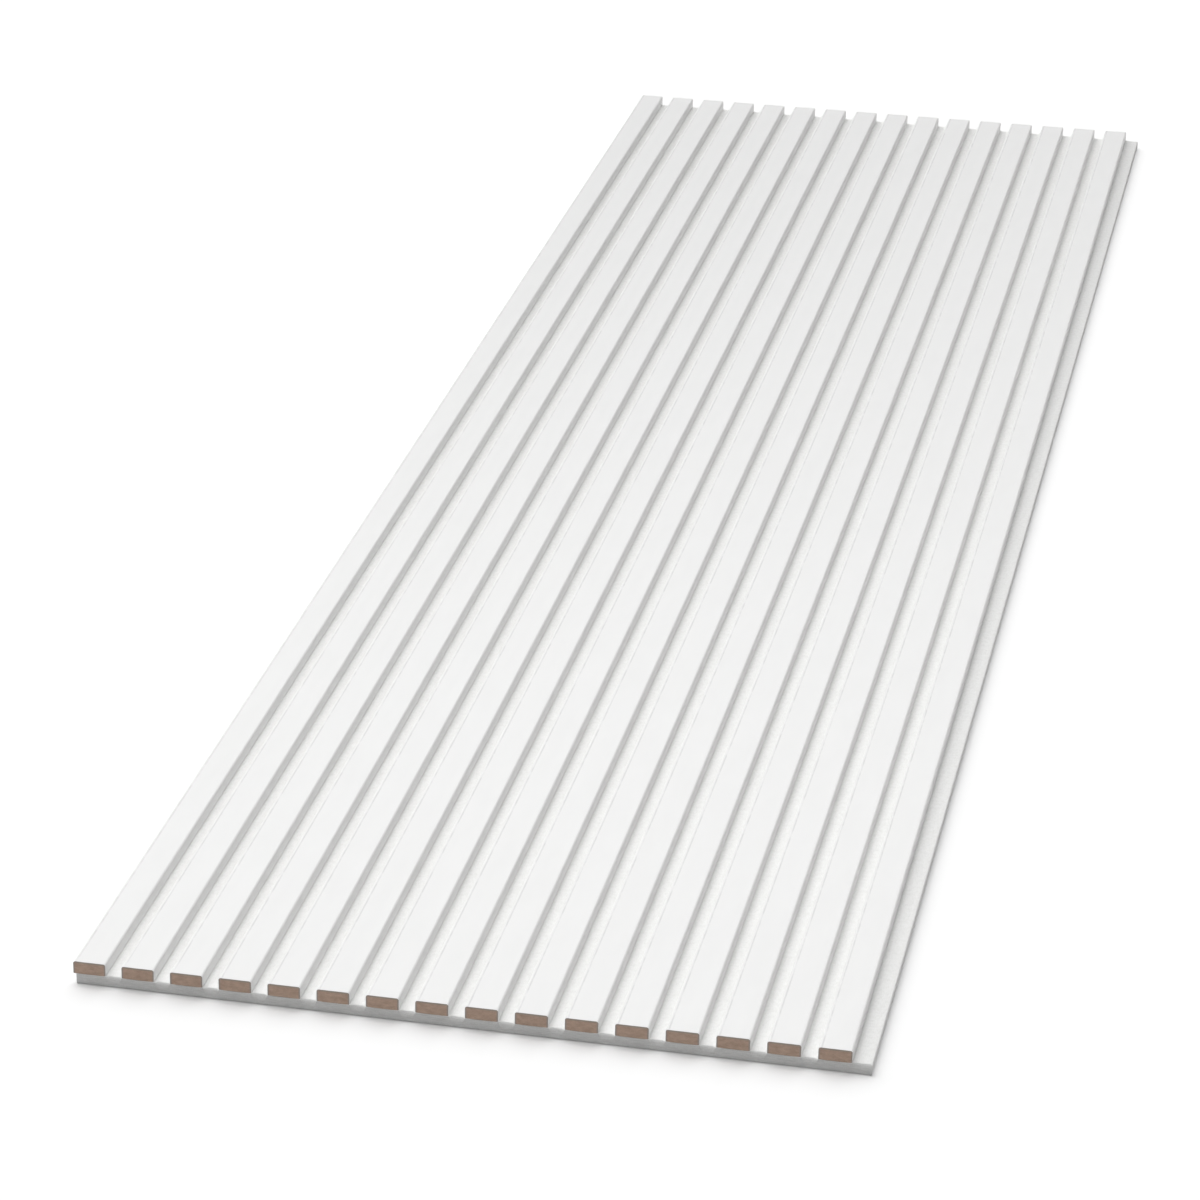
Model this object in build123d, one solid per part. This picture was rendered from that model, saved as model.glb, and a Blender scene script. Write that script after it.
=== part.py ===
from build123d import *
import os

# Acoustic slat panel: sixteen white slats on one sheet of felt, lying face up.
# X runs across the slats, Y along them, and Z stands out of the felt's back.
# The origin is the middle of the panel's outline, on the back of the felt.
# All sizes are in millimetres.

# Slats
slat_count = 16
slat_width = 27.0  # over the foil
slat_height = 11.0  # over the foil, from the felt to the face
slat_gap = 13.0  # clear width between two slats
panel_length = 2400.0
face_edge_radius = 2.0  # long edges of the face, over the foil
back_edge_radius = 1.0  # long edges of the underside, over the foil

# Foil, wrapped round each slat and folded under its two long edges
foil_thickness = 0.3
foil_return = 4.0  # width of the fold on the underside

# Felt
felt_thickness = 9.0
felt_inset = 2.5  # the first slat laps this far past the felt's left edge

# Worked out from the sizes above
slat_pitch = slat_width + slat_gap
felt_width = slat_count * slat_pitch
panel_width = felt_inset + felt_width
slats_left = -panel_width / 2
felt_left = slats_left + felt_inset


def slat_centre(index):
    """Middle of a slat across the panel, counted from 0 at the left."""
    return slats_left + slat_width / 2 + index * slat_pitch


def rounded_section(width, height, face_radius, back_radius):
    """Closed outline of a slat, standing on the X axis, with its long edges rounded."""
    half = width / 2
    side_foot = (half, back_radius)
    side_head = (half, height - face_radius)
    face_end = (half - face_radius, height)
    foot_end = (half - back_radius, 0)
    right = [
        Line((0, 0), foot_end),
        RadiusArc(foot_end, side_foot, -back_radius),
        Line(side_foot, side_head),
        RadiusArc(side_head, face_end, -face_radius),
        Line(face_end, (0, height)),
    ]
    left = [mirror(edge, about=Plane.YZ) for edge in right]
    return make_face(right + left)


def outer_section():
    """Slat with its foil, as seen on the cut end."""
    return rounded_section(slat_width, slat_height, face_edge_radius, back_edge_radius)


def core_section():
    """Bare board inside the foil, so every face lies one foil thickness further in."""
    section = rounded_section(
        slat_width - 2 * foil_thickness,
        slat_height - 2 * foil_thickness,
        face_edge_radius - foil_thickness,
        back_edge_radius - foil_thickness,
    )
    return Pos(0, foil_thickness) * section


def foil_section():
    """The skin between the two outlines, open along the middle of the underside."""
    bare_width = slat_width - 2 * foil_return
    opening = Rectangle(bare_width, 2 * foil_thickness)
    return outer_section() - core_section() - opening


def run_along_panel(section, index):
    """Draws a section out to the panel's length, on the felt, in the place of one slat."""
    end_plane = Plane(
        origin=(slat_centre(index), panel_length / 2, felt_thickness),
        x_dir=(1, 0, 0),
        z_dir=(0, -1, 0),
    )
    return extrude(end_plane * section, amount=panel_length)


def felt_backing():
    """One sheet of felt, with a strip clear of the last slat that the next panel's first slat laps."""
    middle = Pos(felt_left + felt_width / 2, 0, felt_thickness / 2)
    return middle * Box(felt_width, panel_length, felt_thickness)


def write_node(solid, name):
    export_step(solid, os.path.join("parts", name + ".step"))


os.makedirs("parts", exist_ok=True)
write_node(felt_backing(), "felt_backing")
for number in range(slat_count):
    write_node(run_along_panel(core_section(), number), f"mdf_slat_{number + 1:02d}")
    write_node(run_along_panel(foil_section(), number), f"foil_wrap_{number + 1:02d}")
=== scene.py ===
import math

import bmesh
import bpy
import numpy as np
from mathutils import Matrix, Vector


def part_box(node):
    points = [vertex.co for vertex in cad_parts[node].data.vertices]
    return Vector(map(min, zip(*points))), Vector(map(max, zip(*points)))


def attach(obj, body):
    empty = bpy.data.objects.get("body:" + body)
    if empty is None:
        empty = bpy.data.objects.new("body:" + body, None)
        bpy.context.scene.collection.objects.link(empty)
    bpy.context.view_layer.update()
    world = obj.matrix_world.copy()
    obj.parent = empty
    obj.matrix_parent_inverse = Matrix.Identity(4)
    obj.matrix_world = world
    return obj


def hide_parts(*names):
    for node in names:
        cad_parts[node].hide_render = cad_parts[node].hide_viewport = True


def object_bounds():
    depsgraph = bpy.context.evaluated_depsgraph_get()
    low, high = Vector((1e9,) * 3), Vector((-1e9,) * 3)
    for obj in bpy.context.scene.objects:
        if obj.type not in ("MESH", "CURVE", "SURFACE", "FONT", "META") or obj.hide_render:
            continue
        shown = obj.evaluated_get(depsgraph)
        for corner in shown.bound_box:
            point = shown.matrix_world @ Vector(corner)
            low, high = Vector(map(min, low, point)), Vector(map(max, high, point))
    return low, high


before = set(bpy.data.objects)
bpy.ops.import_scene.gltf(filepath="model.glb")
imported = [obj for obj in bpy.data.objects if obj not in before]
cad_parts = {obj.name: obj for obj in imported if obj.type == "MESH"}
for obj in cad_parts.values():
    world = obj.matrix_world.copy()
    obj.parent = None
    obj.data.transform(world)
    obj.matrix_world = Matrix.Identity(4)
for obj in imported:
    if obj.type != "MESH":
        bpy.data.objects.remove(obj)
cad_low, cad_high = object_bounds()

# The felt backing
# One sheet of white needled polyester felt, cut to size with a blade. It lies at the back and carries
# every slat. It swells a little between the slats, and its cut ends are worn soft where no slat presses.

slat_count = sum(name.startswith("foil_wrap_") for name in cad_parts)
slat_boxes = [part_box(f"foil_wrap_{number + 1:02d}") for number in range(slat_count)]
felt_low, felt_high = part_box("felt_backing")
felt_length = felt_high.y - felt_low.y

felt_swell = 0.00025  # height of the crown between two slats
felt_swell_scatter = 0.35  # how much that height varies from place to place
felt_end_drop = 0.0056  # between two slats the cut end's top edge is worn away this far down
felt_end_inset = 0.0018  # and this far in
felt_pressed_edge = 0.0003  # both, under a slat
felt_side_radius = 0.0006  # the long top edges
felt_foot_radius = 0.0013  # the bottom edges, all round
felt_free_after = 1 / 7  # share of the gap's width from a slat to where the felt is wholly free of it
felt_gap_columns = 12
felt_end_rows = 12
felt_side_columns = 4
felt_wall_rows = 5
felt_foot_rows = 4
felt_row_spacing = 0.008
felt_wobble = 0.00012  # how far the blade's cut wanders
felt_sharp_angle = math.radians(50)  # an edge bent more than this shows as an edge
felt_shaded_hollow_colour = (0.865, 0.865, 0.85)
felt_white = (0.965, 0.965, 0.955)
# partly painted shade: the cut ends are given this greyer copy of the felt's colour
felt_cut_colour = (0.66, 0.66, 0.65)
# painted light: the colour that the cut sides turn towards the more they face up
felt_painted_light_colour = (1.0, 1.0, 0.99)
felt_fibre_turns = (0.0, 0.8, 1.6, 2.4)  # directions of the fibres, in radians
felt_fibre_relief = 0.0005
felt_cut_relief = 0.0004


def smoothstep(value):
    value = np.clip(value, 0.0, 1.0)
    return value * value * (3.0 - 2.0 * value)


def quarter_turn(steps):
    """Angles from level to upright."""
    return np.linspace(0.0, math.pi / 2, steps)


def felt_columns():
    """Places across the felt where it is divided, how free of a slat each is, and how far it drops."""
    columns = []
    for angle in quarter_turn(felt_side_columns):
        place = felt_low.x + felt_side_radius * (1.0 - math.cos(angle))
        columns.append((place, 0.0, felt_side_radius * (1.0 - math.sin(angle))))
    for number, (low, high) in enumerate(slat_boxes):
        columns.append((low.x + 0.5 * (high.x - low.x), 0.0, 0.0))
        last = number == slat_count - 1
        gap_end = felt_high.x - felt_side_radius if last else slat_boxes[number + 1][0].x
        for step in range(felt_gap_columns + 1):
            share = step / felt_gap_columns
            free = smoothstep(share / felt_free_after)
            if not last:
                free *= smoothstep((1.0 - share) / felt_free_after)
            columns.append((high.x + share * (gap_end - high.x), float(free), 0.0))
    for angle in quarter_turn(felt_side_columns)[-2::-1]:
        place = felt_high.x - felt_side_radius * (1.0 - math.cos(angle))
        columns.append((place, 1.0, felt_side_radius * (1.0 - math.sin(angle))))
    return np.array(columns).T


def felt_top(rng):
    """Points of the felt's upper side, row by row from the near end, down to the edges of its cut sides."""
    xs, free, side_drop = felt_columns()
    inset = felt_pressed_edge + (felt_end_inset - felt_pressed_edge) * free
    depth = felt_pressed_edge + (felt_end_drop - felt_pressed_edge) * free
    angle = quarter_turn(felt_end_rows)[:, None]
    end_inset = inset * (1.0 - np.cos(angle))
    end_drop = depth * (1.0 - np.sin(angle))
    first_inner = 1.3 * felt_end_inset  # clear of the worn rows
    inner_rows = int(felt_length / felt_row_spacing)
    inner = np.linspace(felt_low.y + first_inner, felt_high.y - first_inner, inner_rows)[:, None]
    level = np.ones_like(xs)
    ys = np.concatenate([felt_low.y + end_inset, inner * level, (felt_high.y - end_inset)[::-1]])
    drop = np.concatenate([end_drop, 0.0 * inner * level, end_drop[::-1]]) + side_drop
    crown = felt_swell * free * (1.0 + felt_swell_scatter * rng.standard_normal(ys.shape))
    crown = np.clip(crown, 0.0, None)
    fade = smoothstep(angle / (math.pi / 2)) ** 4
    crown[:felt_end_rows] *= fade
    crown[-felt_end_rows:] *= fade[::-1]
    crown[:, -felt_side_columns:] *= 0.0
    return np.stack([xs * np.ones_like(ys), ys, felt_high.z - drop + crown], axis=2)


def felt_mesh():
    """One closed skin: the upper side, the cut sides with their rounded foot, and the flat back."""
    rng = np.random.default_rng(7)
    top = felt_top(rng)
    rows, columns = top.shape[:2]
    index = np.arange(rows * columns).reshape(rows, columns)
    faces = []
    cut_side = []
    for row in range(rows - 1):
        for column in range(columns - 1):
            near, far = index[row], index[row + 1]
            faces.append((near[column], near[column + 1], far[column + 1], far[column]))
            cut_side.append(min(row, rows - 2 - row) < felt_end_rows - 1)

    rim = [(0, column) for column in range(columns)]
    rim += [(row, columns - 1) for row in range(1, rows)]
    rim += [(rows - 1, column) for column in range(columns - 2, -1, -1)]
    rim += [(row, 0) for row in range(rows - 2, 0, -1)]
    rim_row, rim_column = np.array(rim).T
    rim_points = top[rim_row, rim_column]
    outward = np.zeros_like(rim_points)
    outward[:, 0] = (rim_column == columns - 1).astype(float) - (rim_column == 0)
    outward[:, 1] = (rim_row == rows - 1).astype(float) - (rim_row == 0)

    levels = []
    for share in np.linspace(0.0, 1.0, felt_wall_rows)[1:]:
        height = rim_points[:, 2] + share * (felt_foot_radius - rim_points[:, 2])
        wander = felt_wobble * np.abs(rng.standard_normal(len(rim))) * (share < 1.0)
        levels.append((height, wander))
    for angle in quarter_turn(felt_foot_rows)[1:]:
        height = np.full(len(rim), felt_foot_radius * (1.0 - math.sin(angle)))
        levels.append((height, np.full(len(rim), felt_foot_radius * (1.0 - math.cos(angle)))))
    points = [top.reshape(-1, 3)]
    above = index[rim_row, rim_column]
    for height, inward in levels:
        ring = rim_points - outward * inward[:, None]
        ring[:, 2] = height
        below = sum(len(ready) for ready in points) + np.arange(len(rim))
        for place in range(len(rim)):
            after = (place + 1) % len(rim)
            faces.append((above[after], above[place], below[place], below[after]))
            cut_side.append(bool(outward[place, 1]))
        points.append(ring)
        above = below
    middle = sum(len(ready) for ready in points)
    middle_x = (felt_low.x + felt_high.x) / 2
    middle_y = (felt_low.y + felt_high.y) / 2
    points.append(np.array([[middle_x, middle_y, felt_low.z]]))
    for place in range(len(rim)):
        faces.append((above[(place + 1) % len(rim)], above[place], middle))
        cut_side.append(False)

    mesh = bpy.data.meshes.new("felt")
    faces = [tuple(int(corner) for corner in face) for face in faces]
    mesh.from_pydata(np.concatenate(points).tolist(), [], faces)
    mesh.polygons.foreach_set("material_index", np.array(cut_side, dtype=np.int32))
    skin = bmesh.new()
    skin.from_mesh(mesh)
    bmesh.ops.recalc_face_normals(skin, faces=skin.faces)
    for face in skin.faces:
        face.smooth = True
    for edge in skin.edges:
        edge.smooth = edge.calc_face_angle(0.0) < felt_sharp_angle
    skin.to_mesh(mesh)
    skin.free()
    return mesh


def new_material(name):
    """A material with its node tree and its surface shader."""
    material = bpy.data.materials.new(name)
    material.use_nodes = True
    tree = material.node_tree
    return material, tree, tree.nodes["Principled BSDF"]


def place_in_metres(tree, scale=(1.0, 1.0, 1.0), turned=0.0):
    """The point on the part, in metres, stretched and turned to set the size of a pattern."""
    coordinate = tree.nodes.new("ShaderNodeTexCoord")
    mapping = tree.nodes.new("ShaderNodeMapping")
    mapping.inputs["Scale"].default_value = scale
    mapping.inputs["Rotation"].default_value = (0.0, 0.0, turned)
    tree.links.new(coordinate.outputs["Object"], mapping.inputs["Vector"])
    return mapping.outputs["Vector"]


def cloud(tree, place, scale, detail=3.0, roughness=0.6):
    """Soft random pattern from 0 to 1, whose scale counts its spots in a metre."""
    noise = tree.nodes.new("ShaderNodeTexNoise")
    noise.inputs["Scale"].default_value = scale
    noise.inputs["Detail"].default_value = detail
    noise.inputs["Roughness"].default_value = roughness
    tree.links.new(place, noise.inputs["Vector"])
    return noise.outputs["Fac"]


def spread(tree, value, low, high, to_low=0.0, to_high=1.0):
    """Moves a value from one range to another, and holds it inside the second."""
    change = tree.nodes.new("ShaderNodeMapRange")
    change.inputs["From Min"].default_value = low
    change.inputs["From Max"].default_value = high
    change.inputs["To Min"].default_value = to_low
    change.inputs["To Max"].default_value = to_high
    tree.links.new(value, change.inputs["Value"])
    return change.outputs["Result"]


def combine(tree, operation, first, second):
    """One sum of two values, each an output or a plain number."""
    node = tree.nodes.new("ShaderNodeMath")
    node.operation = operation
    for value, socket in ((first, node.inputs[0]), (second, node.inputs[1])):
        if isinstance(value, (int, float)):
            socket.default_value = value
        else:
            tree.links.new(value, socket)
    return node.outputs["Value"]


def overlay(tree, first, second, first_share):
    """Two patterns laid over each other, the first with the share that is given."""
    first_part = combine(tree, "MULTIPLY", first, first_share)
    second_part = combine(tree, "MULTIPLY", second, 1.0 - first_share)
    return combine(tree, "ADD", first_part, second_part)


def tint(tree, amount, low_colour, high_colour):
    """A colour between two, by an amount from 0 to 1."""
    mix = tree.nodes.new("ShaderNodeMix")
    mix.data_type = "RGBA"
    mix.inputs["A"].default_value = (*low_colour, 1.0)
    mix.inputs["B"].default_value = (*high_colour, 1.0)
    tree.links.new(amount, mix.inputs["Factor"])
    return mix.outputs["Result"]


def relief(tree, shader, height, depth, strength=1.0):
    """Gives the surface a fine relief, whose full height is depth, in metres."""
    bump = tree.nodes.new("ShaderNodeBump")
    bump.inputs["Strength"].default_value = strength
    bump.inputs["Distance"].default_value = depth
    tree.links.new(height, bump.inputs["Height"])
    tree.links.new(bump.outputs["Normal"], shader.inputs["Normal"])


def felt_fibres(tree):
    """Crossing fibres, as thin streaks of several directions laid over each other."""
    total = None
    for turned in felt_fibre_turns:
        place = place_in_metres(tree, (1.0, 0.12, 1.0), turned)
        streaks = cloud(tree, place, scale=1500.0, detail=2.0)
        total = streaks if total is None else combine(tree, "MAXIMUM", total, streaks)
    return total


def felt_face_material():
    """The felt's broad faces: matted white fibres, mottled, with painted shade making the hollows between
    the needle marks faintly darker.
    """
    material, tree, shader = new_material("felt_face")
    fibres = felt_fibres(tree)
    clumps = cloud(tree, place_in_metres(tree), scale=220.0, detail=4.0)
    mixed = overlay(tree, fibres, clumps, 0.6)
    amount = spread(tree, mixed, 0.40, 0.62)
    # painted shade: the pattern that raises the relief also darkens its hollows
    tree.links.new(tint(tree, amount, felt_shaded_hollow_colour, felt_white), shader.inputs["Base Color"])
    shader.inputs["Roughness"].default_value = 1.0
    shader.inputs["Specular IOR Level"].default_value = 0.1
    shader.inputs["Sheen Weight"].default_value = 0.15
    shader.inputs["Sheen Roughness"].default_value = 0.6
    relief(tree, shader, mixed, felt_fibre_relief, 0.6)
    return material


def turned_up(tree):
    """How far the surface faces up: 0 where it is upright, 1 where it is level."""
    surface = tree.nodes.new("ShaderNodeNewGeometry")
    split = tree.nodes.new("ShaderNodeSeparateXYZ")
    tree.links.new(surface.outputs["Normal"], split.inputs["Vector"])
    return split.outputs["Z"]


def felt_cut_material():
    """The felt's cut sides: cropped fibres in thin level layers, greyer in part as painted shade, below a
    worn edge that painted light whitens the more it faces up.
    """
    material, tree, shader = new_material("felt_cut_side")
    layers = cloud(tree, place_in_metres(tree, (0.12, 0.12, 1.0)), scale=1600.0)
    specks = cloud(tree, place_in_metres(tree), scale=1300.0)
    mixed = overlay(tree, layers, specks, 0.6)
    amount = spread(tree, mixed, 0.38, 0.64)
    # the worn edge is the felt's white face turning down, and painted light whitens it more the more it
    # faces up
    painted_uplight = spread(tree, turned_up(tree), 0.0, 0.45)
    amount = overlay(tree, amount, painted_uplight, 3 / 7)
    tree.links.new(tint(tree, amount, felt_cut_colour, felt_painted_light_colour), shader.inputs["Base Color"])
    shader.inputs["Roughness"].default_value = 1.0
    shader.inputs["Specular IOR Level"].default_value = 0.1
    relief(tree, shader, mixed, felt_cut_relief, 0.7)
    return material


felt = bpy.data.objects.new("felt", felt_mesh())
bpy.context.scene.collection.objects.link(felt)
felt.data.materials.append(felt_face_material())
felt.data.materials.append(felt_cut_material())
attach(felt, "root")
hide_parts("felt_backing")

# The sixteen slats
# Each is a strip of brown medium-density fibreboard, sawn to the panel's length after wrapping. Only its
# cut ends stay bare, and they show packed fibres, darker in a thin rim along their top and sides.

board_low, board_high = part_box("mdf_slat_01")
board_half_width = (board_high.x - board_low.x) / 2
slat_pitch = slat_boxes[1][0].x - slat_boxes[0][0].x
board_rim = 0.0017  # depth of the darker rim along the top and sides
board_dark = (0.447, 0.314, 0.242)
board_light = (0.653, 0.484, 0.383)
board_rim_colour = (0.41, 0.351, 0.316)
board_relief = 0.0003


def part_axes(tree):
    """The part's own X, Y and Z at the point, in metres."""
    place = tree.nodes.new("ShaderNodeTexCoord")
    split = tree.nodes.new("ShaderNodeSeparateXYZ")
    tree.links.new(place.outputs["Object"], split.inputs["Vector"])
    return split.outputs["X"], split.outputs["Y"], split.outputs["Z"]


def across_slat(tree, x, first_edge):
    """How far the point lies to the right of its own slat's edge, where first_edge is slat 1's."""
    return combine(tree, "MODULO", combine(tree, "SUBTRACT", x, first_edge), slat_pitch)


def board_material():
    """Fibreboard, as seen on a sawn end: flat flakes in level layers, and a darker rim along the top and
    sides.
    """
    material, tree, shader = new_material("fibreboard")
    x, _, z = part_axes(tree)
    from_left = across_slat(tree, x, board_low.x)
    from_middle = combine(tree, "ABSOLUTE", combine(tree, "SUBTRACT", from_left, board_half_width), 0.0)
    from_side = combine(tree, "SUBTRACT", board_half_width, from_middle)
    from_top = combine(tree, "SUBTRACT", board_high.z, z)
    rim = spread(tree, combine(tree, "MINIMUM", from_side, from_top), 0.0, board_rim, 1.0, 0.0)
    patches = cloud(tree, place_in_metres(tree, (0.45, 1.0, 1.0)), scale=330.0)
    flakes = cloud(tree, place_in_metres(tree, (0.35, 1.0, 1.0)), scale=1400.0, detail=4.0, roughness=0.7)
    specks = cloud(tree, place_in_metres(tree), scale=3200.0, detail=2.0)
    fine = overlay(tree, flakes, specks, 0.7)
    mixed = overlay(tree, patches, fine, 0.5)
    amount = spread(tree, mixed, 0.36, 0.64)
    face = tint(tree, amount, board_dark, board_light)
    rimmed = tree.nodes.new("ShaderNodeMix")
    rimmed.data_type = "RGBA"
    rimmed.inputs["B"].default_value = (*board_rim_colour, 1.0)
    tree.links.new(spread(tree, rim, 0.0, 0.6, 0.0, 0.9), rimmed.inputs["Factor"])
    tree.links.new(face, rimmed.inputs["A"])
    tree.links.new(rimmed.outputs["Result"], shader.inputs["Base Color"])
    shader.inputs["Roughness"].default_value = 0.9
    shader.inputs["Specular IOR Level"].default_value = 0.15
    relief(tree, shader, fine, board_relief, 0.6)
    return material


board = board_material()
for number in range(slat_count):
    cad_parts[f"mdf_slat_{number + 1:02d}"].material_slots[0].material = board

# The foil round each slat
# A white printed-grade foil, 0.3 mm thick, glued hot round the board by rollers and folded under its
# long edges. It is satin, with a fine orange-peel relief. A faint broken line of painted shade, as from a
# crease, lies beside its left edge, and its tone has painted shade over its left corner and painted light
# over its right one.

# painted shade: a thin darker line, as from a crease, beside each slat's left edge
crease_offset = 0.0026  # from the slat's left side
crease_width = 0.0011
foil_shade = (0.74, 0.74, 0.735)
foil_white = (0.98, 0.98, 0.975)
foil_whiteness = 0.69  # of the flat face, where 0 is the shade and 1 is the white
# painted shade over the left corner, which faces the lamps, and painted light over the right corner, which
# faces away
left_corner_shaded_whiteness = 0.42
right_corner_lit_whiteness = 1.0
corner_width = 0.0023
right_fade = (0.0004, 0.0001)  # how far inside the right side the painted light on the corner begins and ends to fade
foil_relief = 0.00004
slat_width = slat_boxes[0][1].x - slat_boxes[0][0].x


def foil_whiteness_with_painted_corners(tree, across):
    """Whiteness of the foil by the distance from the slat's left side, with painted shade over the left
    corner and painted light over the right one.
    """
    half_corner = 0.5 * corner_width
    right_corner = slat_width - corner_width
    from_left = spread(tree, across, half_corner, corner_width, left_corner_shaded_whiteness, foil_whiteness)
    to_right = spread(tree, across, right_corner, right_corner + half_corner)
    fade_start, fade_end = (slat_width - inside for inside in right_fade)
    off_side = spread(tree, across, fade_start, fade_end, 1.0, 0.0)
    painted_corner_light = combine(tree, "MULTIPLY", to_right, off_side)
    painted_corner_light = combine(tree, "MULTIPLY", painted_corner_light, right_corner_lit_whiteness - foil_whiteness)
    return combine(tree, "ADD", from_left, painted_corner_light)


def foil_material():
    """White satin foil."""
    material, tree, shader = new_material("white_foil")
    x, _, _ = part_axes(tree)
    across = across_slat(tree, x, slat_boxes[0][0].x)
    from_crease = combine(tree, "ABSOLUTE", combine(tree, "SUBTRACT", across, crease_offset), 0.0)
    # painted shade of a crease, broken up by a soft pattern
    painted_crease_shade = spread(tree, from_crease, 0.0, crease_width, 1.0, 0.0)
    shade_breaks = cloud(tree, place_in_metres(tree, (1.0, 0.4, 1.0)), scale=130.0, detail=2.0)
    painted_crease_shade = combine(tree, "MULTIPLY", painted_crease_shade, spread(tree, shade_breaks, 0.35, 0.6, 0.25, 1.15))
    peel = cloud(tree, place_in_metres(tree), scale=900.0, detail=2.0)
    waves = cloud(tree, place_in_metres(tree, (1.0, 0.25, 1.0)), scale=60.0, detail=2.0)
    tone = spread(tree, overlay(tree, peel, waves, 0.5), 0.3, 0.7, 0.8, 1.0)
    amount = combine(tree, "MULTIPLY", tone, spread(tree, painted_crease_shade, 0.0, 1.0, 1.0, 0.0))
    amount = combine(tree, "MULTIPLY", amount, foil_whiteness_with_painted_corners(tree, across))
    tree.links.new(tint(tree, amount, foil_shade, foil_white), shader.inputs["Base Color"])
    tree.links.new(spread(tree, waves, 0.3, 0.7, 0.36, 0.44), shader.inputs["Roughness"])
    shader.inputs["Specular IOR Level"].default_value = 0.3
    height = combine(tree, "ADD", peel, combine(tree, "MULTIPLY", waves, 2.0))
    relief(tree, shader, height, foil_relief, 0.5)
    return material


foil = foil_material()
for number in range(slat_count):
    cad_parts[f"foil_wrap_{number + 1:02d}"].material_slots[0].material = foil

# The floor and the light
# A plain white floor that keeps the panel's soft shadow. A very wide lamp stands behind the panel and to
# its left, a square one hangs over its near end, a weak one in front fills the ends, and the rest is even.

floor_size = 60.0
floor_gap = 0.00005  # below the felt, so the two never share a face
floor_bounce = 0.78  # share of the light that the floor throws back on the panel
even_light = 0.17
side_direction = Vector((-0.40, 0.66, 0.65))  # from the panel towards the lamp
side_strength = 2.75
side_width = math.radians(92)
front_direction = Vector((-0.30, -1.0, 0.25))
front_strength = 0.30
front_width = math.radians(40)
top_place = Vector((-0.2, -0.95, 2.2))
top_size = 1.4
top_power = 11.9
floor_white = 1.035  # brightness of the open floor, where 1 is white

side_light = side_strength / math.pi * side_direction.normalized().z
front_light = front_strength / math.pi * front_direction.normalized().z
top_light = top_power * top_place.z ** 2 / math.pi ** 2
top_reach = top_place.z ** 2 + top_size ** 2 / 6


def seen_directly(tree):
    """1 for what is seen, straight, in a gloss or through glass, and 0 for the light's own paths."""
    path = tree.nodes.new("ShaderNodeLightPath")
    total = combine(tree, "MAXIMUM", path.outputs["Is Camera Ray"], path.outputs["Is Glossy Ray"])
    return combine(tree, "MAXIMUM", total, path.outputs["Is Transmission Ray"])


def floor_glow(tree):
    """What the open floor lacks to be white, as the top lamp's light gets weaker away from it."""
    place = tree.nodes.new("ShaderNodeTexCoord")
    distance = tree.nodes.new("ShaderNodeVectorMath")
    distance.operation = "DISTANCE"
    distance.inputs[1].default_value = (top_place.x, top_place.y, 0.0)
    tree.links.new(place.outputs["Object"], distance.inputs[0])
    squared = combine(tree, "POWER", distance.outputs["Value"], 2.0)
    spreading = combine(tree, "POWER", combine(tree, "ADD", squared, top_reach), 2.0)
    from_top = combine(tree, "DIVIDE", top_light, spreading)
    return combine(tree, "SUBTRACT", floor_white - even_light - side_light - front_light, from_top)


def floor_material():
    """Plain white paper."""
    material = bpy.data.materials.new("white_floor")
    material.use_nodes = True
    tree = material.node_tree
    tree.nodes.clear()
    output = tree.nodes.new("ShaderNodeOutputMaterial")
    bounce = tree.nodes.new("ShaderNodeBsdfDiffuse")
    bounce.inputs["Color"].default_value = (floor_bounce, floor_bounce, floor_bounce, 1.0)
    seen = tree.nodes.new("ShaderNodeBsdfDiffuse")
    seen.inputs["Color"].default_value = (1.0, 1.0, 1.0, 1.0)
    glow = tree.nodes.new("ShaderNodeEmission")
    tree.links.new(floor_glow(tree), glow.inputs["Strength"])
    both = tree.nodes.new("ShaderNodeAddShader")
    choose = tree.nodes.new("ShaderNodeMixShader")
    tree.links.new(seen.outputs["BSDF"], both.inputs[0])
    tree.links.new(glow.outputs["Emission"], both.inputs[1])
    tree.links.new(seen_directly(tree), choose.inputs[0])
    tree.links.new(bounce.outputs["BSDF"], choose.inputs[1])
    tree.links.new(both.outputs["Shader"], choose.inputs[2])
    tree.links.new(choose.outputs["Shader"], output.inputs["Surface"])
    return material


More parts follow.
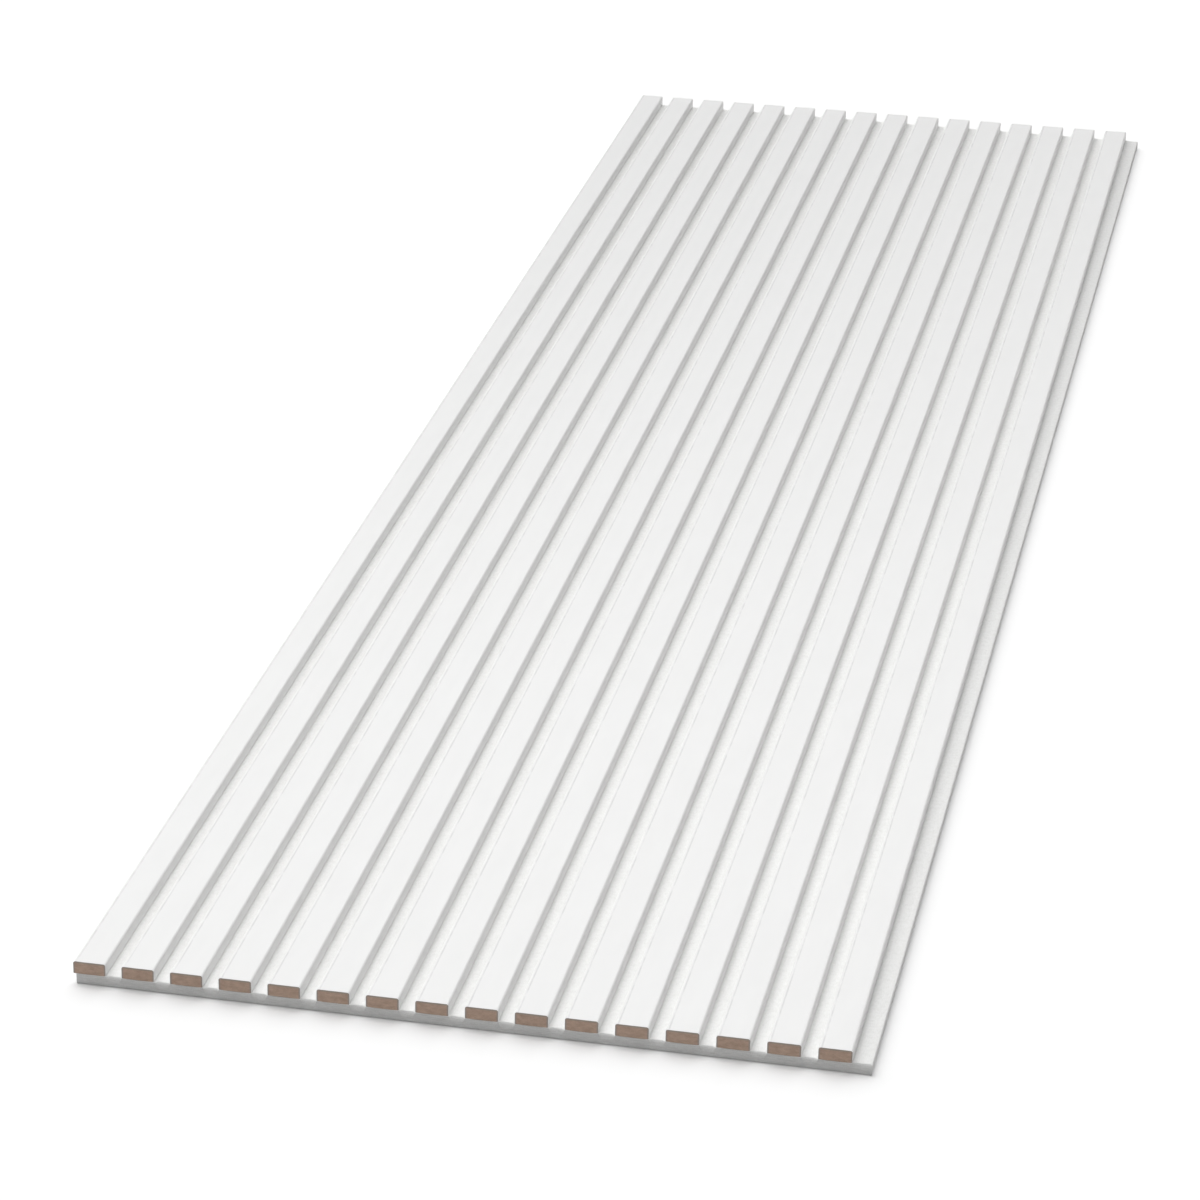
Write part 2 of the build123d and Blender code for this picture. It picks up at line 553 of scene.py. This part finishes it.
half_floor = floor_size / 2
floor_corners = [(x * half_floor, y * half_floor, 0) for x, y in ((-1, -1), (1, -1), (1, 1), (-1, 1))]
floor_mesh = bpy.data.meshes.new("floor")
floor_mesh.from_pydata(floor_corners, [], [(0, 1, 2, 3)])
floor_mesh.materials.append(floor_material())
floor = bpy.data.objects.new("floor", floor_mesh)
floor.location.z = cad_low.z - floor_gap
bpy.context.scene.collection.objects.link(floor)

world = bpy.data.worlds.new("even_light")
bpy.context.scene.world = world
world.use_nodes = True
world_tree = world.node_tree
world_tree.nodes.clear()
world_output = world_tree.nodes.new("ShaderNodeOutputWorld")
background = world_tree.nodes.new("ShaderNodeBackground")
background.inputs["Color"].default_value = (1.0, 1.0, 1.0, 1.0)
world_strength = spread(world_tree, seen_directly(world_tree), 0.0, 1.0, even_light, 1.0)
world_tree.links.new(world_strength, background.inputs["Strength"])
world_tree.links.new(background.outputs["Background"], world_output.inputs["Surface"])


def wide_lamp(name, strength, width, direction):
    """A soft lamp that lights the whole panel alike, and leaves no gleam on the foil."""
    data = bpy.data.lights.new(name, "SUN")
    data.energy = strength
    data.angle = width
    lamp = bpy.data.objects.new(name, data)
    lamp.visible_glossy = False
    lamp.rotation_euler = direction.to_track_quat("Z", "Y").to_euler()
    bpy.context.scene.collection.objects.link(lamp)


wide_lamp("side_light", side_strength, side_width, side_direction)
wide_lamp("front_light", front_strength, front_width, front_direction)

top_data = bpy.data.lights.new("top_light", "AREA")
top_data.shape = "SQUARE"
top_data.size = top_size
top_data.energy = top_power
top_lamp = bpy.data.objects.new("top_light", top_data)
top_lamp.location = top_place
bpy.context.scene.collection.objects.link(top_lamp)

# The camera
# It stands to the right of the panel's near end and looks down along the slats through a long lens.

camera_place = Vector((0.6562, -4.0765, 1.6719))
camera_aim = Vector((-0.0625, -0.3587, 0.0))
camera_roll = math.radians(1.14)
camera_lens = 128.94  # for a 36 mm frame
camera_data = bpy.data.cameras.new("camera")
camera_data.lens = camera_lens
camera_data.sensor_width = 36.0
camera_data.clip_end = 100.0
camera = bpy.data.objects.new("camera", camera_data)
look = (camera_aim - camera_place).to_track_quat("-Z", "Y").to_matrix()
camera.rotation_euler = (look @ Matrix.Rotation(camera_roll, 3, "Z")).to_euler()
camera.location = camera_place
bpy.context.scene.collection.objects.link(camera)
bpy.context.scene.camera = camera
bpy.context.scene.view_settings.view_transform = "Standard"
